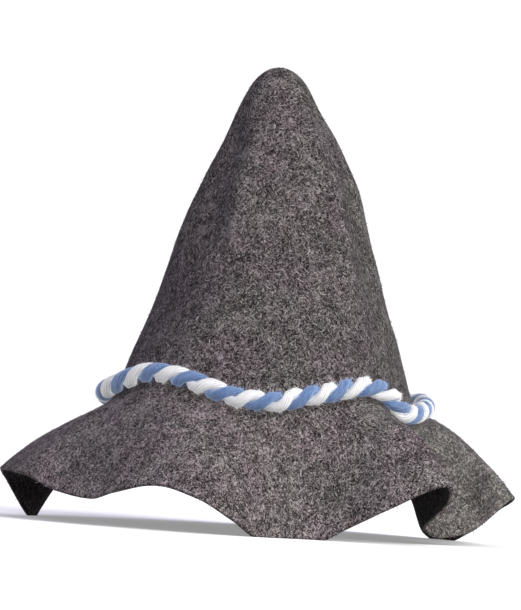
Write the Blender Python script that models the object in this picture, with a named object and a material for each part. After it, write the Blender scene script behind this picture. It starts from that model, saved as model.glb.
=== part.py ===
"""Tyrolean felt hat, in metres, +Z up, seen from -Y, resting on its brim at z = 0.

One piece of felt makes the cone and the wavy brim. A cord of two twisted yarns lies round the foot of the cone.
"""

import bpy
import numpy as np

# Sizes of the felt
HAT_HEIGHT = 0.260
HEAD_HALF_WIDTH = 0.0842
HEAD_HALF_DEPTH = 0.1025
HEAD_SHIFT = 0.0015
AXIS_X = 0.0013
AXIS_Y = 0.0040
CORD_LINE_HEIGHT = 0.0695
BRIM_RADIUS = 0.146
FELT = 0.0024
BEND_LENGTH = 0.010
EDGE_CURL = 0.30

# Sizes of the cord
CORD_RADIUS = 0.0052
CORD_GAP = 0.0005
YARN_GAP = 0.0003
YARN_HALF_WIDTH = 0.0040
STEPS_PER_TURN = 9
YARN_SIDES = 6
TWIST_SAMPLES = 1441

# Sections of the cone, from its foot to its tip
# height: share of the way from the cord line to the tip; width: share of the head's half width;
# depth: share of the head's half depth; lean: sideways shift as a share of the head's half width
# Columns: height, width, depth, lean
SECTIONS = (
    (0.000, 1.000, 1.000, 0.000),
    (0.085, 0.945, 0.940, -0.010),
    (0.149, 0.898, 0.885, -0.008),
    (0.218, 0.844, 0.825, -0.004),
    (0.309, 0.771, 0.745, -0.006),
    (0.404, 0.706, 0.665, -0.006),
    (0.495, 0.644, 0.595, -0.010),
    (0.574, 0.588, 0.530, -0.008),
    (0.649, 0.528, 0.465, 0.003),
    (0.713, 0.461, 0.400, 0.000),
    (0.787, 0.379, 0.325, -0.008),
    (0.872, 0.278, 0.238, -0.036),
    (0.931, 0.210, 0.178, -0.042),
    (0.966, 0.154, 0.128, -0.044),
    (0.990, 0.085, 0.070, -0.044),
    (1.000, 0.000, 0.000, -0.044),
)

# Height of the cord line round the head, as a share of CORD_LINE_HEIGHT; azimuth 0 is the front, 90 the right
# Columns: azimuth, height
CORD_ROWS = (
    (-180, 1.030),
    (-90, 0.965),
    (-60, 1.035),
    (-37, 1.140),
    (-25, 1.100),
    (-19, 1.047),
    (-7, 0.970),
    (4, 0.980),
    (11, 1.045),
    (31, 1.123),
    (38, 1.080),
    (52, 0.965),
    (60, 0.960),
    (76, 0.945),
    (92, 0.995),
    (112, 1.050),
)

# Turns that the cord has twisted, counted from the front left, by azimuth
# Columns: azimuth, turns
TWIST_ROWS = (
    (-180, -7.10),
    (-80, 0.26),
    (-45, 1.90),
    (-18, 3.93),
    (5, 5.93),
    (26.5, 7.93),
    (39, 8.85),
    (60, 10.48),
    (180, 18.90),
)

# Free edge of the brim: reach is a share of BRIM_RADIUS, height a share of CORD_LINE_HEIGHT,
# and lift is how far the felt swells above the straight way to the edge, as a share of that way
# Columns: azimuth, reach, height, lift
BRIM_ROWS = (
    (-166, 0.990, 0.300, 0.05),
    (-148, 0.950, 0.330, 0.05),
    (-118, 0.930, 0.300, 0.03),
    (-101, 0.890, -0.020, 0.05),
    (-88, 0.972, 0.316, 0.05),
    (-76, 0.996, 0.388, 0.02),
    (-60, 1.000, 0.360, 0.03),
    (-48.1, 0.984, 0.252, 0.04),
    (-37.4, 1.000, 0.216, 0.05),
    (-31.4, 1.011, 0.273, 0.05),
    (-20.6, 1.035, 0.352, 0.05),
    (-11.2, 1.061, 0.273, 0.05),
    (-4.5, 1.000, 0.125, 0.03),
    (1.5, 0.925, -0.010, 0.02),
    (14, 0.846, -0.020, 0.00),
    (21, 0.890, 0.103, 0.00),
    (27, 1.000, 0.266, 0.02),
    (38.5, 1.082, 0.475, 0.05),
    (43, 1.020, 0.367, 0.05),
    (50, 0.815, 0.122, 0.02),
    (58, 0.808, 0.065, 0.04),
    (64, 0.863, 0.101, 0.12),
    (74, 0.992, 0.403, 0.26),
    (95, 0.950, 0.316, 0.27),
    (111, 0.938, 0.144, 0.15),
    (127, 0.938, -0.020, 0.08),
    (132, 0.925, 0.058, 0.07),
    (138, 0.932, 0.345, 0.06),
    (153, 0.975, 0.345, 0.05),
    (172, 1.014, -0.020, 0.03),
)

# Soft folds and dents of the cone: push is a share of the local radius, outward when positive
# The middle of each runs at a slant, in degrees of azimuth over the whole height
# Columns: azimuth, azimuth spread, height, height spread, push, slant; spreads in degrees and in shares of the height
FOLDS = (
    (-27, 8, 0.64, 0.22, 0.045, -50),
    (-54, 19, 0.66, 0.20, -0.115, -45),
    (-58, 17, 0.25, 0.11, -0.070, -20),
    (8, 17, 0.50, 0.30, -0.045, 0),
    (39, 9, 0.50, 0.24, 0.050, -10),
    (60, 12, 0.52, 0.22, -0.050, -10),
)

# Azimuths of the mesh columns, closer together where the brim waves most
# Columns: azimuth where a run starts, count of columns in it
COLUMN_RUNS = (
    (-180, 9),
    (-112, 7),
    (-84, 24),
    (20, 16),
    (70, 9),
    (124, 6),
    (142, 7),
)
BRIM_STEPS = (0.0, 0.13, 0.28, 0.45, 0.64, 0.82)
BEND_STEPS = (0.0, 0.5, 1.0)
CONE_STEPS = (0.13, 0.22, 0.33, 0.45, 0.57, 0.69, 0.80, 0.89, 0.955, 0.988)
SAMPLES_PER_SECTION = 40
SMALLEST_RADIUS = 1e-9
NORMAL_STEP_DEGREES = 0.05


def smooth_table(rows, where, closed):
    """Smooth curve through the table's rows that keeps flat tops at its crests and hollows."""
    table = np.array(rows, float)
    if closed:
        before = table[-1:] - np.eye(1, table.shape[1]) * 360
        after = table[:2] + np.eye(1, table.shape[1]) * 360
        table = np.concatenate([before, table, after])
    at, values = table[:, 0], table[:, 1:]
    step = np.diff(at)[:, None]
    slope = np.diff(values, axis=0) / step
    left, right = slope[:-1], slope[1:]
    weight_left = 2 * step[1:] + step[:-1]
    weight_right = step[1:] + 2 * step[:-1]
    same_way = left * right > 0
    safe_left = np.where(same_way, left, 1)
    safe_right = np.where(same_way, right, 1)
    mean = (weight_left + weight_right) / (weight_left / safe_left + weight_right / safe_right)
    inner = np.where(same_way, mean, 0)
    tangent = np.concatenate([slope[:1], inner, slope[-1:]])
    index = np.clip(np.searchsorted(at, where, side="right") - 1, 0, len(at) - 2)
    span = step[index]
    share = ((np.asarray(where, float) - at[index])[:, None]) / span
    rise = share * share * (3 - 2 * share)
    return (
        values[index] * (1 - rise)
        + values[index + 1] * rise
        + span * tangent[index] * share * (1 - share) ** 2
        - span * tangent[index + 1] * share**2 * (1 - share)
    )


def cone_sections(heights):
    """Width, depth and lean shares at these heights; the tip is rounded by following the rows by number."""
    table = np.array(SECTIONS)
    mirror = table[-2] * (1, -1, -1, 1)
    start = 2 * table[0] - table[1]
    points = np.vstack([start, table, mirror])
    fine = np.linspace(0, len(table) - 1, SAMPLES_PER_SECTION * (len(table) - 1) + 1)
    index = np.minimum(fine.astype(int), len(table) - 2)
    share = (fine - index)[:, None]
    a, b, c, d = (points[index + k] for k in range(4))
    curve = 0.5 * (
        2 * b + (c - a) * share + (2 * a - 5 * b + 4 * c - d) * share**2 + (3 * b - a - 3 * c + d) * share**3
    )
    return [np.interp(heights, curve[:, 0], curve[:, k]) for k in (1, 2, 3)]


def fold_push(azimuth, height):
    """Share by which the folds and dents move the cone in or out."""
    push = np.zeros(np.broadcast(azimuth, height).shape)
    for centre, azimuth_spread, at_height, height_spread, amount, slant in FOLDS:
        rise = height - at_height
        turn = (azimuth - centre - slant * rise + 180) % 360 - 180
        push += amount * np.exp(-((turn / azimuth_spread) ** 2) - (rise / height_spread) ** 2)
    return push


def cone_point(azimuth, height):
    """Outer face of the cone at an azimuth and a share of the height."""
    width, depth, lean = cone_sections(height)
    foot = smooth_table(CORD_ROWS, azimuth, True)[:, 0] * CORD_LINE_HEIGHT
    sine, cosine = np.sin(np.radians(azimuth)), np.cos(np.radians(azimuth))
    half_width = np.maximum(width * HEAD_HALF_WIDTH, SMALLEST_RADIUS)
    half_depth = np.maximum(depth * HEAD_HALF_DEPTH, SMALLEST_RADIUS)
    radius = 1 / np.hypot(sine / half_width, cosine / half_depth)
    radius = radius * (1 + fold_push(azimuth, height))
    x = AXIS_X + HEAD_SHIFT + lean * HEAD_HALF_WIDTH + radius * sine
    y = AXIS_Y - radius * cosine
    return np.stack([x, y, foot * (1 - height) + HAT_HEIGHT * height], -1)


def unit(vectors):
    return vectors / np.linalg.norm(vectors, axis=-1, keepdims=True)


def profile_rows(azimuth):
    """Outer face of the felt: rows of points from the brim's edge to just under the tip."""
    level = np.zeros_like(azimuth)
    foot = cone_point(azimuth, level)
    above = cone_point(azimuth, level + BEND_LENGTH / (HAT_HEIGHT - CORD_LINE_HEIGHT))
    reach, height, lift = smooth_table(BRIM_ROWS, azimuth, True).T
    reach = reach * BRIM_RADIUS
    edge_z = np.maximum(height * CORD_LINE_HEIGHT, 0)
    turn = np.radians(azimuth)
    edge = np.stack([AXIS_X + reach * np.sin(turn), AXIS_Y - reach * np.cos(turn), edge_z], -1)
    length = np.linalg.norm(edge - foot, axis=1, keepdims=True)
    chord = unit(edge - foot)
    up = np.array([0, 0, 1])
    near_foot = foot + chord * length / 3 + up * lift[:, None] * length
    near_edge = edge - (chord - EDGE_CURL * up) * length / 3

    def brim(share):
        back = 1 - share
        return edge * back**3 + 3 * near_edge * share * back**2 + 3 * near_foot * share**2 * back + foot * share**3

    below = brim(1 - BEND_LENGTH / length)
    rows = [brim(share) for share in BRIM_STEPS]
    rows += [below * (1 - share) ** 2 + 2 * foot * share * (1 - share) + above * share**2 for share in BEND_STEPS]
    rows += [cone_point(azimuth, level + height) for height in CONE_STEPS]
    return np.array(rows)


def outward_normals(azimuth, tip):
    """Unit normals of the outer face, by small steps along and across it."""
    rows = profile_rows(azimuth)
    across = profile_rows(azimuth + NORMAL_STEP_DEGREES) - profile_rows(azimuth - NORMAL_STEP_DEGREES)
    along = np.empty_like(rows)
    along[1:-1] = rows[2:] - rows[:-2]
    along[0] = rows[1] - rows[0]
    along[-1] = tip - rows[-2]
    return unit(np.cross(across, along))


def column_azimuths():
    starts = [start for start, _ in COLUMN_RUNS] + [180]
    runs = [np.linspace(starts[k], starts[k + 1], count, endpoint=False) for k, (_, count) in enumerate(COLUMN_RUNS)]
    return np.concatenate(runs)


def sheet_faces(rows, columns, first, flip):
    """Faces of a grid closed round the axis, its points numbered from first."""
    faces = []
    for row in range(rows - 1):
        for column in range(columns):
            after = (column + 1) % columns
            corners = [
                first + row * columns + column,
                first + row * columns + after,
                first + (row + 1) * columns + after,
                first + (row + 1) * columns + column,
            ]
            faces.append(corners[::-1] if flip else corners)
    return faces


def add_node(name, points, faces, colour, roughness):
    """One closed mesh object with its own material."""
    mesh = bpy.data.meshes.new(name)
    mesh.from_pydata([tuple(point) for point in points], [], faces)
    mesh.validate()
    mesh.shade_smooth()
    material = bpy.data.materials.new(name + "_material")
    material.use_nodes = True
    shader = material.node_tree.nodes["Principled BSDF"]
    shader.inputs["Base Color"].default_value = (*colour, 1)
    shader.inputs["Roughness"].default_value = roughness
    mesh.materials.append(material)
    node = bpy.data.objects.new(name, mesh)
    bpy.context.scene.collection.objects.link(node)
    return node


def felt_body():
    """Felt cone and brim in one piece, open underneath."""
    azimuth = column_azimuths()
    outer = profile_rows(azimuth)
    tip = cone_point(np.zeros(1), np.ones(1))[0]
    inner = outer - FELT * outward_normals(azimuth, tip)
    inner[..., 2] = np.maximum(inner[..., 2], 0)
    inner_tip = tip - (0, 0, FELT)
    rows, columns = outer.shape[:2]
    count = rows * columns
    points = np.concatenate([outer.reshape(-1, 3), inner.reshape(-1, 3), [tip, inner_tip]])
    faces = sheet_faces(rows, columns, 0, False) + sheet_faces(rows, columns, count, True)
    last = (rows - 1) * columns
    for column in range(columns):
        after = (column + 1) % columns
        faces.append([last + column, last + after, 2 * count])
        faces.append([count + last + after, count + last + column, 2 * count + 1])
        faces.append([column, count + column, count + after, after])
    return points, faces


def cord_axis(azimuth):
    """Middle of the cord and its outward direction, seated in the bend between cone and brim."""
    seat_row = len(BRIM_STEPS) + 1
    tip = cone_point(np.zeros(1), np.ones(1))[0]
    seat = profile_rows(azimuth)[seat_row]
    outward = outward_normals(azimuth, tip)[seat_row]
    return seat + outward * (CORD_RADIUS + CORD_GAP), outward


def yarn(start_turn):
    """One yarn of the cord: a flattened round that winds about the cord's middle."""
    fine_azimuth = np.linspace(-180, 180, TWIST_SAMPLES)
    fine_turns = smooth_table(TWIST_ROWS, fine_azimuth, False)[:, 0]
    steps = round((fine_turns[-1] - fine_turns[0]) * STEPS_PER_TURN)
    turns = fine_turns[0] + np.arange(steps) / STEPS_PER_TURN
    azimuth = np.interp(turns, fine_turns, fine_azimuth)
    middle, outward = cord_axis(azimuth)
    along = unit(np.roll(middle, -1, axis=0) - np.roll(middle, 1, axis=0))
    outward = unit(outward - along * np.sum(outward * along, axis=1, keepdims=True))
    up = np.cross(outward, along)
    half_height = (CORD_RADIUS - YARN_GAP / 2) / 2
    centre = half_height + YARN_GAP / 2
    points = []
    for step in range(steps):
        twist = 2 * np.pi * (start_turn + turns[step])
        radial = np.cos(twist) * outward[step] + np.sin(twist) * up[step]
        sideways = np.cos(twist) * up[step] - np.sin(twist) * outward[step]
        for side in range(YARN_SIDES):
            angle = 2 * np.pi * side / YARN_SIDES
            points.append(
                middle[step]
                + radial * (centre + half_height * np.sin(angle))
                + sideways * YARN_HALF_WIDTH * np.cos(angle)
            )
    faces = []
    for step in range(steps):
        next_step = (step + 1) % steps
        for side in range(YARN_SIDES):
            next_side = (side + 1) % YARN_SIDES
            here = (step * YARN_SIDES + side, step * YARN_SIDES + next_side)
            there = (next_step * YARN_SIDES + side, next_step * YARN_SIDES + next_side)
            # Outer faces are split to bulge, inner ones to stay clear of the other yarn
            outside = side < YARN_SIDES / 2
            faces.append((here[0], here[1], there[1] if outside else there[0]))
            faces.append((here[0] if outside else here[1], there[1], there[0]))
    return points, faces


for old in list(bpy.data.objects):
    bpy.data.objects.remove(old, do_unlink=True)

add_node("felt_body", *felt_body(), colour=(0.110, 0.100, 0.105), roughness=0.95)
add_node("white_yarn", *yarn(0.0), colour=(0.86, 0.85, 0.82), roughness=0.8)
add_node("blue_yarn", *yarn(0.5), colour=(0.11, 0.25, 0.55), roughness=0.8)
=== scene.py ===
import math

import bpy
import numpy as np
from mathutils import Matrix, Vector, noise


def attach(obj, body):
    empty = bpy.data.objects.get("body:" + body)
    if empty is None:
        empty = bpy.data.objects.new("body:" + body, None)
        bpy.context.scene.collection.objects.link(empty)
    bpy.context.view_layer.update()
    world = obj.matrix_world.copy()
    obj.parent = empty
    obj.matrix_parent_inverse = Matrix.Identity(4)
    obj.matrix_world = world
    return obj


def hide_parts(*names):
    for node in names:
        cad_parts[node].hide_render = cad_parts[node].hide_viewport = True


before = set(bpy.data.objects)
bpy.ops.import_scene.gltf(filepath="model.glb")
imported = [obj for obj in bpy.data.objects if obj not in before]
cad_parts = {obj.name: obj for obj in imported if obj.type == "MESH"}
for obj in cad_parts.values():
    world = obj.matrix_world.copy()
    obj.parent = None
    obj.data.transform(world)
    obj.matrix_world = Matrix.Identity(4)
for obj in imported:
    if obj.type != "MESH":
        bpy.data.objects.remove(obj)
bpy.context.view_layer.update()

scene = bpy.context.scene

# Camera
# Long lens just above the floor, level with the brim, turned so that the hat leans as in the photograph.
# The picture is picture_height metres high at the hat.
eye = Vector((-0.0038, -1.796, 0.0425))
aim = Vector((-0.0038, 0.004, 0.1261))
camera_roll = math.radians(3.67)
picture_height = 0.3416
camera_data = bpy.data.cameras.new("camera")
camera = bpy.data.objects.new("camera", camera_data)
scene.collection.objects.link(camera)
look = (aim - eye).to_track_quat("-Z", "Y").to_matrix().to_4x4()
camera.matrix_world = Matrix.Translation(eye) @ look @ Matrix.Rotation(camera_roll, 4, "Z")
camera_data.sensor_width = 36
camera_data.lens = camera_data.sensor_width * (aim - eye).length / picture_height
camera_data.clip_start = 0.1
camera_data.clip_end = 60
scene.camera = camera

# Floor
# Plain pale studio floor that runs out of sight behind the hat.
floor_reach = 40
floor_corners = [(x * floor_reach, y * floor_reach, 0) for x, y in ((-1, -1), (1, -1), (1, 1), (-1, 1))]
floor_mesh = bpy.data.meshes.new("studio_floor")
floor_mesh.from_pydata(floor_corners, [], [(0, 1, 2, 3)])
floor = bpy.data.objects.new("studio_floor", floor_mesh)
scene.collection.objects.link(floor)
floor_material = bpy.data.materials.new("pale_floor")
floor_material.use_nodes = True
floor_shader = floor_material.node_tree.nodes["Principled BSDF"]
floor_shader.inputs["Base Color"].default_value = (0.93, 0.93, 0.93, 1)
floor_shader.inputs["Roughness"].default_value = 0.9
floor_shader.inputs["Specular IOR Level"].default_value = 0.0
floor_shader.inputs["Emission Color"].default_value = (1, 1, 1, 1)
floor_shader.inputs["Emission Strength"].default_value = 0.28
floor_mesh.materials.append(floor_material)

# Studio light
# A large soft lamp at the upper right front, under a pale sky with a white band at the horizon as backdrop.
# The floor throws no light back, so the underside of the brim stays dark.
lamp_azimuth = math.radians(38)
lamp_height = math.radians(31)
lamp = bpy.data.lights.new("key_lamp", "SUN")
lamp.energy = 3.3
lamp.angle = math.radians(45)
lamp.color = (1.0, 0.985, 0.94)
lamp_object = bpy.data.objects.new("key_lamp", lamp)
level_share = math.cos(lamp_height)
lamp_side = level_share * math.sin(lamp_azimuth)
lamp_front = level_share * math.cos(lamp_azimuth)
towards_lamp = Vector((lamp_side, -lamp_front, math.sin(lamp_height)))
lamp_object.rotation_mode = "QUATERNION"
lamp_object.rotation_quaternion = towards_lamp.to_track_quat("Z", "Y")
scene.collection.objects.link(lamp_object)
floor.visible_diffuse = False
world = bpy.data.worlds.new("studio_surround")
world.use_nodes = True
world_tree = world.node_tree
direction = world_tree.nodes.new("ShaderNodeTexCoord")
split = world_tree.nodes.new("ShaderNodeSeparateXYZ")
world_tree.links.new(direction.outputs["Generated"], split.inputs[0])
half_up = world_tree.nodes.new("ShaderNodeMapRange")
half_up.inputs["From Min"].default_value = -1
world_tree.links.new(split.outputs["Z"], half_up.inputs["Value"])

# Brightness of the surroundings, from straight down, 0, to straight up, 1
# Columns: place, brightness, share of blue
SURROUND_STOPS = (
    (0.495, 0.22, 1.05),
    (0.500, 1.0, 1.0),
    (0.575, 1.0, 1.0),
    (0.62, 0.36, 1.3),
)
surround_green = 0.98
surround = world_tree.nodes.new("ShaderNodeValToRGB")
surround_elements = surround.color_ramp.elements
while len(surround_elements) < len(SURROUND_STOPS):
    surround_elements.new(0.5)
for element, (height, brightness, blue) in zip(surround_elements, SURROUND_STOPS):
    element.position = height
    element.color = (brightness, brightness * surround_green, brightness * blue, 1)
world_tree.links.new(half_up.outputs[0], surround.inputs["Fac"])
background = world_tree.nodes["Background"]
world_tree.links.new(surround.outputs["Color"], background.inputs["Color"])
background.inputs["Strength"].default_value = 1.08
scene.world = world
scene.view_settings.view_transform = "Standard"

# Felt body
# One moulded piece of grey melange wool felt: a soft pointed cone that runs out into a wavy raw-cut brim.
# Its sizes and its tables of sections, folds and waves are the ones that the frame was built from.
HAT_HEIGHT = 0.260
HEAD_HALF_WIDTH = 0.0842
HEAD_HALF_DEPTH = 0.1025
HEAD_SHIFT = 0.0015
AXIS_X = 0.0013
AXIS_Y = 0.0040
CORD_LINE_HEIGHT = 0.0695
BRIM_RADIUS = 0.146
FELT = 0.0024
BEND_LENGTH = 0.010
EDGE_CURL = 0.30
SAMPLES_PER_SECTION = 40
SMALLEST_RADIUS = 1e-9
NORMAL_STEP_DEGREES = 0.05

# Sections of the cone, from its foot to its tip, as shares of the sizes above
# Columns: height, width, depth, lean
SECTIONS = (
    (0.000, 1.000, 1.000, 0.000),
    (0.085, 0.945, 0.940, -0.010),
    (0.149, 0.898, 0.885, -0.008),
    (0.218, 0.844, 0.825, -0.004),
    (0.309, 0.771, 0.745, -0.006),
    (0.404, 0.706, 0.665, -0.006),
    (0.495, 0.644, 0.595, -0.010),
    (0.574, 0.588, 0.530, -0.008),
    (0.649, 0.528, 0.465, 0.003),
    (0.713, 0.461, 0.400, 0.000),
    (0.787, 0.379, 0.325, -0.008),
    (0.872, 0.278, 0.238, -0.036),
    (0.931, 0.210, 0.178, -0.042),
    (0.966, 0.154, 0.128, -0.044),
    (0.990, 0.085, 0.070, -0.044),
    (1.000, 0.000, 0.000, -0.044),
)

# Height of the cord line, as a share of CORD_LINE_HEIGHT; azimuth 0 is the front, 90 the right
# Columns: azimuth, height
CORD_ROWS = (
    (-180, 1.030),
    (-90, 0.965),
    (-60, 1.035),
    (-37, 1.140),
    (-25, 1.100),
    (-19, 1.047),
    (-7, 0.970),
    (4, 0.980),
    (11, 1.045),
    (31, 1.123),
    (38, 1.080),
    (52, 0.965),
    (60, 0.960),
    (76, 0.945),
    (92, 0.995),
    (112, 1.050),
)

# Free edge of the brim: reach is a share of BRIM_RADIUS, height a share of CORD_LINE_HEIGHT,
# and lift is how far the felt swells above the straight way to the edge, as a share of that way
# Columns: azimuth, reach, height, lift
BRIM_ROWS = (
    (-166, 0.990, 0.300, 0.05),
    (-148, 0.950, 0.330, 0.05),
    (-118, 0.930, 0.300, 0.03),
    (-101, 0.890, -0.020, 0.05),
    (-88, 0.972, 0.316, 0.05),
    (-76, 0.996, 0.388, 0.02),
    (-60, 1.000, 0.360, 0.03),
    (-48.1, 0.984, 0.252, 0.04),
    (-37.4, 1.000, 0.216, 0.05),
    (-31.4, 1.011, 0.273, 0.05),
    (-20.6, 1.035, 0.352, 0.05),
    (-11.2, 1.061, 0.273, 0.05),
    (-4.5, 1.000, 0.125, 0.03),
    (1.5, 0.925, -0.010, 0.02),
    (14, 0.846, -0.020, 0.00),
    (21, 0.890, 0.103, 0.00),
    (27, 1.000, 0.266, 0.02),
    (38.5, 1.082, 0.475, 0.05),
    (43, 1.020, 0.367, 0.05),
    (50, 0.815, 0.122, 0.02),
    (58, 0.808, 0.065, 0.04),
    (64, 0.863, 0.101, 0.12),
    (74, 0.992, 0.403, 0.26),
    (95, 0.950, 0.316, 0.27),
    (111, 0.938, 0.144, 0.15),
    (127, 0.938, -0.020, 0.08),
    (132, 0.925, 0.058, 0.07),
    (138, 0.932, 0.345, 0.06),
    (153, 0.975, 0.345, 0.05),
    (172, 1.014, -0.020, 0.03),
)

# Soft folds and dents of the cone: push is a share of the local radius, outward when positive
# The middle of each runs at a slant, in degrees of azimuth over the whole height
# Columns: azimuth, azimuth spread, height, height spread, push, slant
FOLDS = (
    (-27, 8, 0.64, 0.22, 0.045, -50),
    (-54, 19, 0.66, 0.20, -0.115, -45),
    (-58, 17, 0.25, 0.11, -0.070, -20),
    (8, 17, 0.50, 0.30, -0.045, 0),
    (39, 9, 0.50, 0.24, 0.050, -10),
    (60, 12, 0.52, 0.22, -0.050, -10),
)

# Small dents and swellings of the surface: place is 0 at the brim's edge, 1 at the foot of the cone
# and 2 at the tip, and push is in metres, outward when positive
# Columns: azimuth, azimuth spread, place, place spread, push
FELT_DENTS = (
    (-42, 12, 1.50, 0.13, -0.0022),
    (-21, 8, 1.50, 0.13, 0.0010),
    (-38, 12, 1.24, 0.10, -0.0027),
    (-16, 8, 1.24, 0.10, 0.0013),
    (-40, 12, 1.74, 0.11, -0.0017),
    (-16, 9, 1.74, 0.11, 0.0007),
    (67.4, 1.6, 0.12, 0.16, -0.0030),
    (71.0, 1.8, 0.16, 0.20, 0.0018),
    (66, 5, 0.22, 0.16, -0.0030),
    (73, 4, 0.20, 0.16, 0.0015),
    (39, 4, 0.45, 0.35, 0.0024),
    (48, 4, 0.55, 0.30, -0.0028),
    (-30, 6, 0.35, 0.20, 0.0007),
    (14, 5, 0.40, 0.25, -0.0008),
    (-12, 6, 0.55, 0.25, -0.0006),
)


def smooth_table(rows, where, closed):
    """Smooth curve through the table's rows that keeps flat tops at its crests and hollows."""
    table = np.array(rows, float)
    if closed:
        before = table[-1:] - np.eye(1, table.shape[1]) * 360
        after = table[:2] + np.eye(1, table.shape[1]) * 360
        table = np.concatenate([before, table, after])
    at, values = table[:, 0], table[:, 1:]
    step = np.diff(at)[:, None]
    slope = np.diff(values, axis=0) / step
    left, right = slope[:-1], slope[1:]
    weight_left = 2 * step[1:] + step[:-1]
    weight_right = step[1:] + 2 * step[:-1]
    same_way = left * right > 0
    safe_left = np.where(same_way, left, 1)
    safe_right = np.where(same_way, right, 1)
    mean = (weight_left + weight_right) / (weight_left / safe_left + weight_right / safe_right)
    inner = np.where(same_way, mean, 0)
    tangent = np.concatenate([slope[:1], inner, slope[-1:]])
    index = np.clip(np.searchsorted(at, where, side="right") - 1, 0, len(at) - 2)
    span = step[index]
    share = ((np.asarray(where, float) - at[index])[:, None]) / span
    rise = share * share * (3 - 2 * share)
    return (
        values[index] * (1 - rise)
        + values[index + 1] * rise
        + span * tangent[index] * share * (1 - share) ** 2
        - span * tangent[index + 1] * share**2 * (1 - share)
    )


def cone_sections(heights):
    """Width, depth and lean shares at these heights; the tip is rounded by following the rows by number."""
    table = np.array(SECTIONS)
    mirror = table[-2] * (1, -1, -1, 1)
    start = 2 * table[0] - table[1]
    points = np.vstack([start, table, mirror])
    fine = np.linspace(0, len(table) - 1, SAMPLES_PER_SECTION * (len(table) - 1) + 1)
    index = np.minimum(fine.astype(int), len(table) - 2)
    share = (fine - index)[:, None]
    a, b, c, d = (points[index + k] for k in range(4))
    curve = 0.5 * (
        2 * b + (c - a) * share + (2 * a - 5 * b + 4 * c - d) * share**2 + (3 * b - a - 3 * c + d) * share**3
    )
    return [np.interp(heights, curve[:, 0], curve[:, k]) for k in (1, 2, 3)]


def fold_push(azimuth, height):
    """Share by which the folds and dents move the cone in or out."""
    push = np.zeros(np.broadcast(azimuth, height).shape)
    for centre, azimuth_spread, at_height, height_spread, amount, slant in FOLDS:
        rise = height - at_height
        turn = (azimuth - centre - slant * rise + 180) % 360 - 180
        push += amount * np.exp(-((turn / azimuth_spread) ** 2) - (rise / height_spread) ** 2)
    return push


def cone_point(azimuth, height):
    """Outer face of the cone at an azimuth and a share of the height."""
    width, depth, lean = cone_sections(height)
    foot = smooth_table(CORD_ROWS, azimuth, True)[:, 0] * CORD_LINE_HEIGHT
    sine, cosine = np.sin(np.radians(azimuth)), np.cos(np.radians(azimuth))
    half_width = np.maximum(width * HEAD_HALF_WIDTH, SMALLEST_RADIUS)
    half_depth = np.maximum(depth * HEAD_HALF_DEPTH, SMALLEST_RADIUS)
    radius = 1 / np.hypot(sine / half_width, cosine / half_depth)
    radius = radius * (1 + fold_push(azimuth, height))
    x = AXIS_X + HEAD_SHIFT + lean * HEAD_HALF_WIDTH + radius * sine
    y = AXIS_Y - radius * cosine
    return np.stack([x, y, foot * (1 - height) + HAT_HEIGHT * height], -1)


def unit(vectors):
    """The vectors at length 1."""
    return vectors / np.linalg.norm(vectors, axis=-1, keepdims=True)


def profile_rows(azimuth, brim_steps, bend_steps, cone_steps):
    """Outer face of the felt: rows of points from the brim's edge to just under the tip."""
    level = np.zeros_like(azimuth)
    foot = cone_point(azimuth, level)
    above = cone_point(azimuth, level + BEND_LENGTH / (HAT_HEIGHT - CORD_LINE_HEIGHT))
    reach, height, lift = smooth_table(BRIM_ROWS, azimuth, True).T
    reach = reach * BRIM_RADIUS
    edge_z = np.maximum(height * CORD_LINE_HEIGHT, 0)
    turn = np.radians(azimuth)
    edge = np.stack([AXIS_X + reach * np.sin(turn), AXIS_Y - reach * np.cos(turn), edge_z], -1)
    length = np.linalg.norm(edge - foot, axis=1, keepdims=True)
    chord = unit(edge - foot)
    up = np.array([0, 0, 1])
    near_foot = foot + chord * length / 3 + up * lift[:, None] * length
    near_edge = edge - (chord - EDGE_CURL * up) * length / 3

    def brim(share):
        back = 1 - share
        return (
            edge * back**3
            + 3 * near_edge * share * back**2
            + 3 * near_foot * share**2 * back
            + foot * share**3
        )

    bend_start = 1 - BEND_LENGTH / length
    below = brim(bend_start)
    rows = [brim(share * bend_start) for share in brim_steps]
    for share in bend_steps:
        rows.append(below * (1 - share) ** 2 + 2 * foot * share * (1 - share) + above * share**2)
    rows += [cone_point(azimuth, level + height) for height in cone_steps]
    return np.array(rows)


def outward_normals(azimuth, brim_steps, bend_steps, cone_steps):
    """Unit normals of the outer face, by small steps along and across it."""
    rows = profile_rows(azimuth, brim_steps, bend_steps, cone_steps)
    after = profile_rows(azimuth + NORMAL_STEP_DEGREES, brim_steps, bend_steps, cone_steps)
    before = profile_rows(azimuth - NORMAL_STEP_DEGREES, brim_steps, bend_steps, cone_steps)
    along = np.empty_like(rows)
    along[1:-1] = rows[2:] - rows[:-2]
    along[0] = rows[1] - rows[0]
    along[-1] = rows[-1] - rows[-2]
    return unit(np.cross(after - before, along))


def sheet_faces(rows, columns):
    """Faces of a grid closed round the axis."""
    faces = []
    for row in range(rows - 1):
        for column in range(columns):
            after = (column + 1) % columns
            here = row * columns
            there = here + columns
            faces.append((here + column, here + after, there + after, there + column))
    return faces


SEED_STEPS = (3.7, 1.9, 5.3)


def lumps(points, size, seed):
    """Soft random heights from -1 to 1 over the points, with bumps about this size."""
    shift = Vector([seed * step for step in SEED_STEPS])
    heights = [noise.noise(Vector(point) / size + shift) for point in points.reshape(-1, 3)]
    return np.array(heights).reshape(points.shape[:-1])


def near_azimuth(azimuths, centre, spread):
    """Share that is 1 at the centre and fades to 0 over the spread on both sides."""
    turn = (azimuths - centre + 180) % 360 - 180
    return np.exp(-((turn / spread) ** 2))


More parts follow.
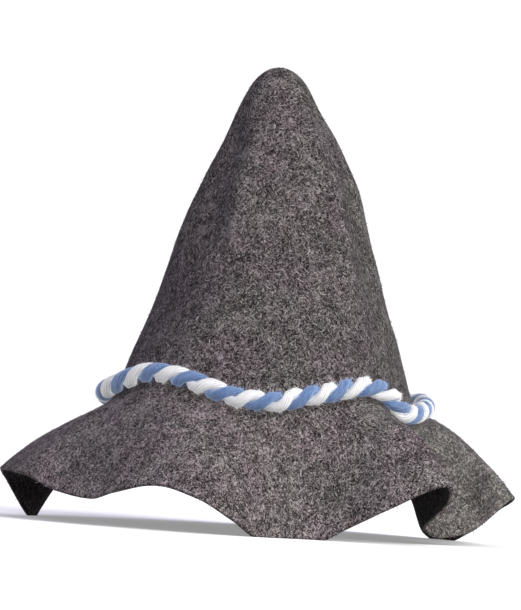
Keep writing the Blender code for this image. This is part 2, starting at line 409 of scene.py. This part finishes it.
# Rows of the mesh: shares of the way over the brim, over the bend under the cord and up the cone,
# closer together where the tip rounds over
felt_columns = 540
felt_azimuth = np.linspace(-180, 180, felt_columns, endpoint=False)
brim_steps = np.linspace(0, 0.98, 44)
bend_steps = np.linspace(0, 1, 12)
tip_share = 0.055
tip_steps = 1 - tip_share * np.linspace(1, 0.06, 14) ** 2
cone_steps = np.concatenate([np.linspace(0.07, 0.94, 62), tip_steps])
outer = profile_rows(felt_azimuth, brim_steps, bend_steps, cone_steps)
felt_normals = outward_normals(felt_azimuth, brim_steps, bend_steps, cone_steps)

# Uneven surface: the felt's own lumps, which leave out the edge row, and the dents of the table
# Columns: height, size, seed
FELT_LUMPS = ((0.00035, 0.022, 1), (0.00014, 0.007, 2))
unevenness = sum(height * lumps(outer, size, seed) for height, size, seed in FELT_LUMPS)
unevenness[0] = 0
felt_place = np.concatenate([brim_steps, np.ones(len(bend_steps)), 1 + cone_steps])
for azimuth, azimuth_spread, place, place_spread, push in FELT_DENTS:
    near_place = np.exp(-(((felt_place - place) / place_spread) ** 2))
    unevenness += push * near_azimuth(felt_azimuth, azimuth, azimuth_spread) * near_place[:, None]
outer = outer + felt_normals * unevenness[..., None]
outer[..., 2] = np.maximum(outer[..., 2], 0)

# Inner face, coarser than the outer one, and the cut edge, which swells a little between the two
thickness_change = 0.06
thickness_lump_size = 0.006
inner_rows = slice(0, None, 3)
RIM_SHARES = (0.2, 0.5, 0.8)
rim_bulge = 0.0004
edge_thickness = FELT * (1 + thickness_change * lumps(outer[:1], thickness_lump_size, 3))[0][:, None]
inner = outer[inner_rows] - felt_normals[inner_rows] * FELT
inner[0] = outer[0] - felt_normals[0] * edge_thickness
inner[..., 2] = np.maximum(inner[..., 2], 0)
bulge = unit(outer[0] - outer[1]) * rim_bulge
rim = []
for share in RIM_SHARES:
    rim.append(outer[0] * (1 - share) + inner[0] * share + bulge * math.sin(math.pi * share))
rim = np.array(rim)
rim[..., 2] = np.maximum(rim[..., 2], 0)
tip = cone_point(np.zeros(1), np.ones(1))[0]
layers = np.concatenate([inner[::-1], rim[::-1], outer])
count = len(layers) * felt_columns
felt_faces = sheet_faces(len(layers), felt_columns)
for column in range(felt_columns):
    after = (column + 1) % felt_columns
    top = count - felt_columns
    felt_faces.append((top + column, top + after, count))
    felt_faces.append((after, column, count + 1))
felt_mesh = bpy.data.meshes.new("felt_hat")
felt_points = np.concatenate([layers.reshape(-1, 3), [tip, tip - (0, 0, FELT)]])
felt_mesh.from_pydata(felt_points.tolist(), [], felt_faces)
felt_mesh.shade_smooth()

# Shades that multiply the felt's colour, row by row. The rows run from the inside of the tip to the edge,
# and from there over the outside. All of them are painted light and shade: the brim is paler than the cone,
# as it faces up to the light, the inside is darker with painted shade, the felt beside the cord is darker
# with a painted shadow of the cord, and the cut edge, which faces down, is paler with painted light.
brim_painted_light = 1.30
rim_painted_light = 1.8
inside_brim_painted_shade = 0.26
inside_cone_painted_shade = 0.70
cord_painted_shadow = (1.00, 1.00, 0.88, 0.60, 0.55, 0.60, 0.70, 0.85, 0.95)
inside_painted_shades = np.interp(felt_place[inner_rows][::-1], (0.5, 1.0), (inside_brim_painted_shade, inside_cone_painted_shade))
outer_row = len(inner) + len(rim)
cone_row = len(layers) - len(cone_steps)
cord_row = cone_row - len(bend_steps) - 1
row_shades = np.ones(len(layers))
row_shades[:cone_row] = brim_painted_light
row_shades[cord_row : cord_row + len(cord_painted_shadow)] *= cord_painted_shadow
row_shades[:outer_row] = rim_painted_light
row_shades[: len(inner)] = inside_painted_shades

# Colour changes by azimuth: a purple tint on the left, painted light with a greenish tint over the brim's
# right lobe, and painted shade in the hollow before that lobe
# Columns: azimuth, azimuth spread, change of red, green and blue
SIDE_TINT_AND_PAINTED_LIGHT_PATCHES = (
    (-60, 45, 0.020, -0.012, 0.030),
    (80, 20, 0.20, 0.29, 0.22),
    (58, 8, -0.14, -0.12, -0.16),
)
tint_and_painted_light = np.ones((felt_columns, 3))
for azimuth, azimuth_spread, *colour_change in SIDE_TINT_AND_PAINTED_LIGHT_PATCHES:
    tint_and_painted_light += np.array(colour_change) * near_azimuth(felt_azimuth, azimuth, azimuth_spread)[:, None]

# The outermost rows are paler with painted light where the edge catches it, most of all over the right lobe,
# where the edge turns up
edge_row_count = 2
edge_painted_light = 1.15
turned_azimuth, turned_spread, turned_edge_painted_highlight = 42, 9, 0.45
edge_painted_light_by_azimuth = edge_painted_light + turned_edge_painted_highlight * near_azimuth(felt_azimuth, turned_azimuth, turned_spread)

# The brim's right lobe is rubbed softer, so that less of the melange shows; the layer's alpha holds this
soft_azimuth, soft_spread, soft_share = 80, 22, 0.45
softness = soft_share * near_azimuth(felt_azimuth, soft_azimuth, soft_spread)
felt_shades = row_shades[:, None, None] * tint_and_painted_light
felt_shades[outer_row : outer_row + edge_row_count] *= edge_painted_light_by_azimuth[:, None]
shades = np.ones((len(felt_points), 4))
shades[:-2, :3] = felt_shades.reshape(-1, 3)
shades[: cone_row * felt_columns, 3] = np.tile(1 - softness, cone_row)
shades[-1, :3] = inside_painted_shades[0]
shade_layer = felt_mesh.color_attributes.new("shade", "FLOAT_COLOR", "POINT")
shade_layer.data.foreach_set("color", shades.ravel())
felt_hat = bpy.data.objects.new("felt_hat", felt_mesh)
scene.collection.objects.link(felt_hat)


def new_material(name, roughness):
    """Empty Principled material, with its node tree and shader."""
    material = bpy.data.materials.new(name)
    material.use_nodes = True
    shader = material.node_tree.nodes["Principled BSDF"]
    shader.inputs["Roughness"].default_value = roughness
    shader.inputs["Specular IOR Level"].default_value = 0.15
    return material, material.node_tree, shader


def math_node(tree, operation, first, second):
    """Math node over two sockets or numbers."""
    node = tree.nodes.new("ShaderNodeMath")
    node.operation = operation
    for socket, value in zip(node.inputs, (first, second)):
        if isinstance(value, (int, float)):
            socket.default_value = value
        else:
            tree.links.new(value, socket)
    return node.outputs[0]


def noise_node(tree, vector, scale, detail, roughness):
    """Noise texture over these coordinates."""
    node = tree.nodes.new("ShaderNodeTexNoise")
    node.inputs["Scale"].default_value = scale
    node.inputs["Detail"].default_value = detail
    node.inputs["Roughness"].default_value = roughness
    tree.links.new(vector, node.inputs["Vector"])
    return node


def ramp_node(tree, value, stops):
    """Colours by value, from stops of a place and a colour each."""
    node = tree.nodes.new("ShaderNodeValToRGB")
    ramp = node.color_ramp
    while len(ramp.elements) < len(stops):
        ramp.elements.new(0.5)
    for element, (place, colour) in zip(ramp.elements, stops):
        element.position = place
        element.color = (*colour, 1)
    tree.links.new(value, node.inputs["Fac"])
    return node.outputs["Color"]


def mix_node(tree, blend, first, second):
    """Colour mix of two inputs, with the second at full strength until its Factor is linked."""
    node = tree.nodes.new("ShaderNodeMix")
    node.data_type = "RGBA"
    node.blend_type = blend
    node.inputs["Factor"].default_value = 1
    tree.links.new(first, node.inputs["A"])
    tree.links.new(second, node.inputs["B"])
    return node


def multiplied(tree, first, second):
    """Product of two colours."""
    return mix_node(tree, "MULTIPLY", first, second).outputs["Result"]


# Melange: pale fibres and dark fibres that run four ways, bent by a fine noise and gathered in patches
fibre_wander = 0.0035
fibre_tilt = math.radians(45)
fibre_stretch = 4.0
FIBRE_AZIMUTHS = (40, 130, 220, 310)
patch_weight = 0.30
darkest_sum, palest_sum = 0.990, 1.315
felt_material, tree, shader = new_material("grey_melange_felt", 0.95)
place = tree.nodes.new("ShaderNodeTexCoord").outputs["Object"]
bend_noise = noise_node(tree, place, scale=420, detail=2, roughness=0.5)
centred = tree.nodes.new("ShaderNodeVectorMath")
centred.operation = "SUBTRACT"
centred.inputs[1].default_value = (0.5, 0.5, 0.5)
tree.links.new(bend_noise.outputs["Color"], centred.inputs[0])
bent = tree.nodes.new("ShaderNodeVectorMath")
bent.operation = "MULTIPLY_ADD"
bent.inputs[1].default_value = (fibre_wander, fibre_wander, fibre_wander)
tree.links.new(centred.outputs[0], bent.inputs[0])
tree.links.new(place, bent.inputs[2])
strands = []
for fibre_azimuth in FIBRE_AZIMUTHS:
    mapping = tree.nodes.new("ShaderNodeMapping")
    mapping.vector_type = "TEXTURE"
    mapping.inputs["Rotation"].default_value = (0, fibre_tilt, math.radians(fibre_azimuth))
    mapping.inputs["Scale"].default_value = (1, 1, fibre_stretch)
    tree.links.new(bent.outputs[0], mapping.inputs["Vector"])
    strand_noise = noise_node(tree, mapping.outputs[0], scale=1250, detail=3, roughness=0.65)
    strands.append(strand_noise.outputs["Fac"])
light_fibres = math_node(tree, "MAXIMUM", strands[0], strands[1])
dark_fibres = math_node(tree, "MINIMUM", strands[2], strands[3])
fibres = math_node(tree, "ADD", light_fibres, dark_fibres)
patches = noise_node(tree, place, scale=110, detail=3, roughness=0.75).outputs["Fac"]
patchy_fibres = math_node(tree, "MULTIPLY_ADD", patches, patch_weight)
tree.links.new(fibres, patchy_fibres.node.inputs[2])
fibre_share = tree.nodes.new("ShaderNodeMapRange")
fibre_share.inputs["From Min"].default_value = darkest_sum
fibre_share.inputs["From Max"].default_value = palest_sum
tree.links.new(patchy_fibres, fibre_share.inputs["Value"])
fibre_colour = ramp_node(
    tree,
    fibre_share.outputs[0],
    (
        (0.14, (0.006, 0.005, 0.005)),
        (0.40, (0.045, 0.037, 0.038)),
        (0.58, (0.101, 0.086, 0.087)),
        (0.90, (0.308, 0.278, 0.276)),
    ),
)
tints = noise_node(tree, place, scale=34, detail=3, roughness=0.6).outputs["Fac"]
tint_colour = ramp_node(tree, tints, ((0.38, (1.04, 0.97, 1.01)), (0.62, (0.975, 1.01, 0.955))))
shade = tree.nodes.new("ShaderNodeVertexColor")
shade.layer_name = "shade"
soft_colour = ramp_node(tree, patches, ((0.35, (0.085, 0.076, 0.074)), (0.65, (0.122, 0.108, 0.106))))
worn = mix_node(tree, "MIX", soft_colour, fibre_colour)
tree.links.new(shade.outputs["Alpha"], worn.inputs["Factor"])
colour = multiplied(tree, multiplied(tree, worn.outputs["Result"], tint_colour), shade.outputs["Color"])
tree.links.new(colour, shader.inputs["Base Color"])
bump = tree.nodes.new("ShaderNodeBump")
bump.inputs["Strength"].default_value = 0.75
bump.inputs["Distance"].default_value = 0.0010
tree.links.new(fibres, bump.inputs["Height"])
tree.links.new(bump.outputs[0], shader.inputs["Normal"])
felt_mesh.materials.append(felt_material)
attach(felt_hat, "root")
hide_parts("felt_body")

# Felt fibres
# Single wool fibres that lie on the felt or stand a little off it, paler and darker than its mean grey.
# Each one is a narrow bent ribbon that tapers at both ends.
FIBRE_BEND = 0.18
FIBRE_LIFTS = (0.00004, 0.00016)
FIBRE_END_SINK = 0.00003
FLOOR_GAP = 0.0001
DARKEST_WOOL = 0.004

# Points of a ribbon
# Columns: share of the length, side of the middle line in half widths
RIBBON_STATIONS = ((0.0, 0.0), (0.34, -1.0), (0.34, 1.0), (0.70, -1.0), (0.70, 1.0), (1.0, 0.0))
RIBBON_FACES = ((0, 1, 2), (1, 3, 4, 2), (3, 5, 4))


def fibre_object(name, roots, up, way, lengths, widths, standing, heights, colours, random):
    """Fibres from these roots along these ways, in one mesh with a colour each."""
    count = len(roots)
    length = random.uniform(*lengths, (count, 1))
    width = random.uniform(*widths, (count, 1))
    bend = random.normal(0, FIBRE_BEND, (count, 1)) * length
    lift = random.uniform(*FIBRE_LIFTS, (count, 1))
    stands = random.random((count, 1)) < standing
    end_lift = np.where(stands, random.uniform(*heights, (count, 1)), -FIBRE_END_SINK)
    side = np.cross(up, way)
    stations = []
    for share, edge in RIBBON_STATIONS:
        rise = math.sin(math.pi * share)
        across = bend * rise + width / 2 * edge
        height = lift * rise + end_lift * share**2
        stations.append(roots + way * length * share + side * across + up * height)
    points = np.stack(stations, axis=1)
    points[..., 2] = np.maximum(points[..., 2], FLOOR_GAP)
    first = np.arange(count)[:, None] * len(RIBBON_STATIONS)
    faces = [row for face in RIBBON_FACES for row in (first + np.array(face)).tolist()]
    mesh = bpy.data.meshes.new(name)
    mesh.from_pydata(points.reshape(-1, 3).tolist(), [], faces)
    mesh.shade_smooth()
    corner_colours = np.ones((count, len(RIBBON_STATIONS), 4))
    corner_colours[..., :3] = np.clip(colours, DARKEST_WOOL, 1.0)[:, None, :]
    layer = mesh.color_attributes.new("fibre_colour", "FLOAT_COLOR", "POINT")
    layer.data.foreach_set("color", corner_colours.ravel())
    material, tree, shader = new_material(name + "_wool", 0.9)
    layer_node = tree.nodes.new("ShaderNodeVertexColor")
    layer_node.layer_name = "fibre_colour"
    tree.links.new(layer_node.outputs["Color"], shader.inputs["Base Color"])
    mesh.materials.append(material)
    made = bpy.data.objects.new(name, mesh)
    scene.collection.objects.link(made)
    return made


def spread_ways(up, along, angles):
    """Unit directions in the surface, turned from along by these angles."""
    along = unit(along - up * np.sum(along * up, axis=-1, keepdims=True))
    return along * np.cos(angles) + np.cross(up, along) * np.sin(angles)


felt_fibre_count = 44000
random = np.random.default_rng(7)
row_middles = (outer[1:] + outer[:-1]) / 2
row_steps = np.linalg.norm(outer[1:] - outer[:-1], axis=2).mean(axis=1)
row_rounds = np.linalg.norm(np.roll(row_middles, -1, axis=1) - row_middles, axis=2).sum(axis=1)
row_areas = row_steps * row_rounds
fibre_rows = random.choice(len(row_areas), felt_fibre_count, p=row_areas / row_areas.sum())
fibre_columns = random.integers(0, felt_columns, felt_fibre_count)
row_mix = random.random((felt_fibre_count, 1))
column_mix = random.random((felt_fibre_count, 1))


def on_felt(grid):
    """Values of a grid over the felt at the fibres' places."""
    after = (fibre_columns + 1) % felt_columns
    low = grid[fibre_rows, fibre_columns] * (1 - column_mix) + grid[fibre_rows, after] * column_mix
    high = grid[fibre_rows + 1, fibre_columns] * (1 - column_mix) + grid[fibre_rows + 1, after] * column_mix
    return low * (1 - row_mix) + high * row_mix


felt_up = unit(on_felt(felt_normals))
felt_turns = random.uniform(0, 2 * np.pi, (felt_fibre_count, 1))
felt_ways = spread_ways(felt_up, np.array([0.0, 0.3, 1.0]), felt_turns)

# The brim's fibres are paler than the cone's, with painted light as on the brim's felt,
# and nearer to each other in colour, most of all where it is soft
mean_grey, grey_spread, darkest_grey, palest_grey = 0.078, 1.0, 0.005, 0.50
brim_fibre_painted_light, brim_contrast_share = 1.28, 0.75
wool_tint = np.array([1.05, 0.97, 1.0])
felt_greys = random.lognormal(np.log(mean_grey), grey_spread, (felt_fibre_count, 1))
felt_greys = felt_greys.clip(darkest_grey, palest_grey)
brim_contrast = brim_contrast_share * (1 - softness[fibre_columns])[:, None]
brim_greys = brim_fibre_painted_light * mean_grey * (felt_greys / mean_grey) ** brim_contrast
felt_greys = np.where(fibre_rows[:, None] < len(brim_steps), brim_greys, felt_greys)
felt_fibres = fibre_object(
    "felt_fibres",
    on_felt(outer),
    felt_up,
    felt_ways,
    lengths=(0.0020, 0.0050),
    widths=(0.00017, 0.00034),
    standing=0.12,
    heights=(0.0002, 0.0011),
    colours=felt_greys * wool_tint,
    random=random,
)
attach(felt_fibres, "root")

# Cord yarns
# Two soft wool yarns, one white and one blue, twisted round each other and laid round the foot of the cone.
# Each is a bundle of fine plies that shows as lines along it, with a fuzz of short fibres.
# YARN_HALF_WIDTH is a little less than the frame's, because the section here is fuller.
CORD_RADIUS = 0.0052
CORD_GAP = 0.0005
YARN_GAP = 0.0003
YARN_HALF_WIDTH = 0.0038
TWIST_SAMPLES = 2881
SECTION_POWER = 0.90
SWELL = 0.10
SWELL_LENGTH = 0.010
PLIES = 11
PLY_DEPTH = 0.00022
PLY_TURNS = 0.8
PLY_SHADE_POWER = 1.5
steps_per_turn = 44
yarn_sides = 60

# Turns that the cord has twisted, counted from the front left, by azimuth
# Columns: azimuth, turns
TWIST_ROWS = (
    (-180, -7.10),
    (-80, 0.26),
    (-45, 1.90),
    (-18, 3.93),
    (5, 5.93),
    (26.5, 7.93),
    (39, 8.85),
    (60, 10.48),
    (180, 18.90),
)


def cord_axis(azimuth):
    """Middle of the cord and its outward direction, seated in the bend between cone and brim."""
    bend = (0, 0.5, 1)
    seat = profile_rows(azimuth, (), bend, ())[1]
    outward = outward_normals(azimuth, (), bend, ())[1]
    return seat + outward * (CORD_RADIUS + CORD_GAP), outward


def rounded(wave):
    """Wave of a section that is fuller than an ellipse."""
    return np.sign(wave) * np.abs(wave) ** SECTION_POWER


def yarn_mesh(name, start_turn, seed, ply_groove_painted_shade):
    """Mesh and points of one yarn. Its map runs once round the yarn, and along it by turns of the cord."""
    fine_azimuth = np.linspace(-180, 180, TWIST_SAMPLES)
    fine_turns = smooth_table(TWIST_ROWS, fine_azimuth, False)[:, 0]
    steps = round((fine_turns[-1] - fine_turns[0]) * steps_per_turn)
    turns = fine_turns[0] + np.arange(steps) / steps_per_turn
    azimuth = np.interp(turns, fine_turns, fine_azimuth)
    middle, outward = cord_axis(azimuth)
    along = unit(np.roll(middle, -1, axis=0) - np.roll(middle, 1, axis=0))
    outward = unit(outward - along * np.sum(outward * along, axis=1, keepdims=True))
    up = np.cross(outward, along)
    half_height = (CORD_RADIUS - YARN_GAP / 2) / 2
    centre = half_height + YARN_GAP / 2
    twist = 2 * np.pi * (start_turn + turns)[:, None]
    radial = np.cos(twist) * outward + np.sin(twist) * up
    sideways = np.cos(twist) * up - np.sin(twist) * outward
    swell = 1 + SWELL * lumps(middle, SWELL_LENGTH, seed)
    angle = np.linspace(0, 2 * np.pi, yarn_sides, endpoint=False)
    ply_turn = PLIES * angle[None, :] + 2 * np.pi * PLY_TURNS * turns[:, None]
    valley = 1 - np.abs(np.cos(ply_turn / 2))
    groove = -PLY_DEPTH * valley
    height = half_height * swell[:, None] + groove
    width = YARN_HALF_WIDTH * swell[:, None] + groove
    lift = centre + height * rounded(np.sin(angle))
    across = width * rounded(np.cos(angle))
    points = middle[:, None] + radial[:, None] * lift[..., None] + sideways[:, None] * across[..., None]
    faces = []
    for step in range(steps):
        here = step * yarn_sides
        there = (step + 1) % steps * yarn_sides
        for side in range(yarn_sides):
            after = (side + 1) % yarn_sides
            faces.append((here + side, here + after, there + after, there + side))
    mesh = bpy.data.meshes.new(name)
    mesh.from_pydata(points.reshape(-1, 3).tolist(), [], faces)
    mesh.shade_smooth()
    yarn_map = mesh.uv_layers.new(name="UVMap")
    round_way = np.arange(yarn_sides) / yarn_sides
    along_way = np.arange(steps) / steps_per_turn
    corner_side = np.array([0, 1, 1, 0])
    corner_step = np.array([0, 0, 1, 1])
    u = round_way[None, :, None] + corner_side[None, None, :] / yarn_sides
    v = along_way[:, None, None] + corner_step[None, None, :] / steps_per_turn
    u, v = np.broadcast_arrays(u, v)
    yarn_map.data.foreach_set("uv", np.stack([u, v], -1).ravel())
    # Painted shade in the grooves between the plies
    shades = np.ones((steps * yarn_sides, 4))
    shades[:, :3] -= ((1 - ply_groove_painted_shade) * valley**PLY_SHADE_POWER).reshape(-1, 1)
    shade_layer = mesh.color_attributes.new("shade", "FLOAT_COLOR", "POINT")
    shade_layer.data.foreach_set("color", shades.ravel())
    return mesh, points


# Three weak lamps that light only the cord, from a little below level, as the pale floor lights soft wool.
# The yarns throw no shadow; their shadow on the felt is painted into the felt's colour beside them.
FILL_AZIMUTHS = (-15, 105, 225)
fill_energy = 1.0
fill_angle = math.radians(40)
fill_tilt = math.radians(105)
cord_pieces = bpy.data.collections.new("cord_pieces")
for fill_azimuth in FILL_AZIMUTHS:
    fill = bpy.data.lights.new("cord_fill", "SUN")
    fill.energy = fill_energy
    fill.angle = fill_angle
    fill_object = bpy.data.objects.new("cord_fill", fill)
    fill_object.rotation_euler = (fill_tilt, 0, math.radians(fill_azimuth))
    fill_object.light_linking.receiver_collection = cord_pieces
    fill_object.light_linking.blocker_collection = cord_pieces
    scene.collection.objects.link(fill_object)

# The two yarns
# Columns: name, node, turn it starts at, seed, painted shade between plies, share of standing fibres,
# colour of the fibres, its spread, and the hairs' colours as stops of a place and a colour
YARNS = (
    (
        "white_strand",
        "white_yarn",
        0.0,
        4,
        0.52,
        0.04,
        (0.76, 0.76, 0.76),
        0.06,
        ((0.28, (0.56, 0.56, 0.57)), (0.45, (0.70, 0.70, 0.70)), (0.70, (0.80, 0.80, 0.79))),
    ),
    (
        "blue_strand",
        "blue_yarn",
        0.5,
        5,
        0.45,
        0.16,
        (0.140, 0.235, 0.440),
        0.40,
        ((0.28, (0.052, 0.086, 0.215)), (0.48, (0.122, 0.206, 0.385)), (0.70, (0.240, 0.342, 0.525))),
    ),
)
yarn_fibre_count = 9000
hairs_round, hairs_along = 40, 7
fuzz_spread = 0.35
for name, node, start_turn, seed, ply_groove_painted_shade, standing, wool, wool_spread, colours in YARNS:
    mesh, yarn_points = yarn_mesh(name, start_turn, seed, ply_groove_painted_shade)
    strand = bpy.data.objects.new(name, mesh)
    scene.collection.objects.link(strand)
    material, tree, shader = new_material(name + "_wool", 0.85)
    surface_map = tree.nodes.new("ShaderNodeTexCoord").outputs["UV"]
    mapping = tree.nodes.new("ShaderNodeMapping")
    mapping.inputs["Scale"].default_value = (hairs_round, hairs_along, 1)
    tree.links.new(surface_map, mapping.inputs["Vector"])
    hairs = noise_node(tree, mapping.outputs[0], scale=1, detail=4, roughness=0.65).outputs["Fac"]
    shade = tree.nodes.new("ShaderNodeVertexColor")
    shade.layer_name = "shade"
    yarn_colour = multiplied(tree, ramp_node(tree, hairs, colours), shade.outputs["Color"])
    tree.links.new(yarn_colour, shader.inputs["Base Color"])
    bump = tree.nodes.new("ShaderNodeBump")
    bump.inputs["Strength"].default_value = 0.6
    bump.inputs["Distance"].default_value = 0.0006
    tree.links.new(hairs, bump.inputs["Height"])
    tree.links.new(bump.outputs[0], shader.inputs["Normal"])
    shader.inputs["Sheen Weight"].default_value = 0.3
    shader.inputs["Subsurface Weight"].default_value = 1.0
    shader.inputs["Subsurface Radius"].default_value = (1.0, 1.0, 1.0)
    shader.inputs["Subsurface Scale"].default_value = 0.0050
    mesh.materials.append(material)
    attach(strand, "root")
    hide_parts(node)
    strand.visible_shadow = False
    random = np.random.default_rng(seed)
    root_steps = random.integers(0, len(yarn_points), yarn_fibre_count)
    root_sides = random.integers(0, yarn_sides, yarn_fibre_count)
    roots = yarn_points[root_steps, root_sides]
    yarn_up = unit(roots - yarn_points.mean(axis=1)[root_steps])
    yarn_along = yarn_points[(root_steps + 2) % len(yarn_points), root_sides] - roots
    fuzz_turns = random.normal(0, fuzz_spread, (yarn_fibre_count, 1))
    fuzz = fibre_object(
        name + "_fuzz",
        roots,
        yarn_up,
        spread_ways(yarn_up, yarn_along, fuzz_turns),
        lengths=(0.0012, 0.0030),
        widths=(0.00009, 0.00016),
        standing=standing,
        heights=(0.0002, 0.0010),
        colours=np.array(wool) * random.lognormal(0, wool_spread, (yarn_fibre_count, 1)),
        random=random,
    )
    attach(fuzz, "root")
    fuzz.visible_shadow = False
    cord_pieces.objects.link(strand)
    cord_pieces.objects.link(fuzz)
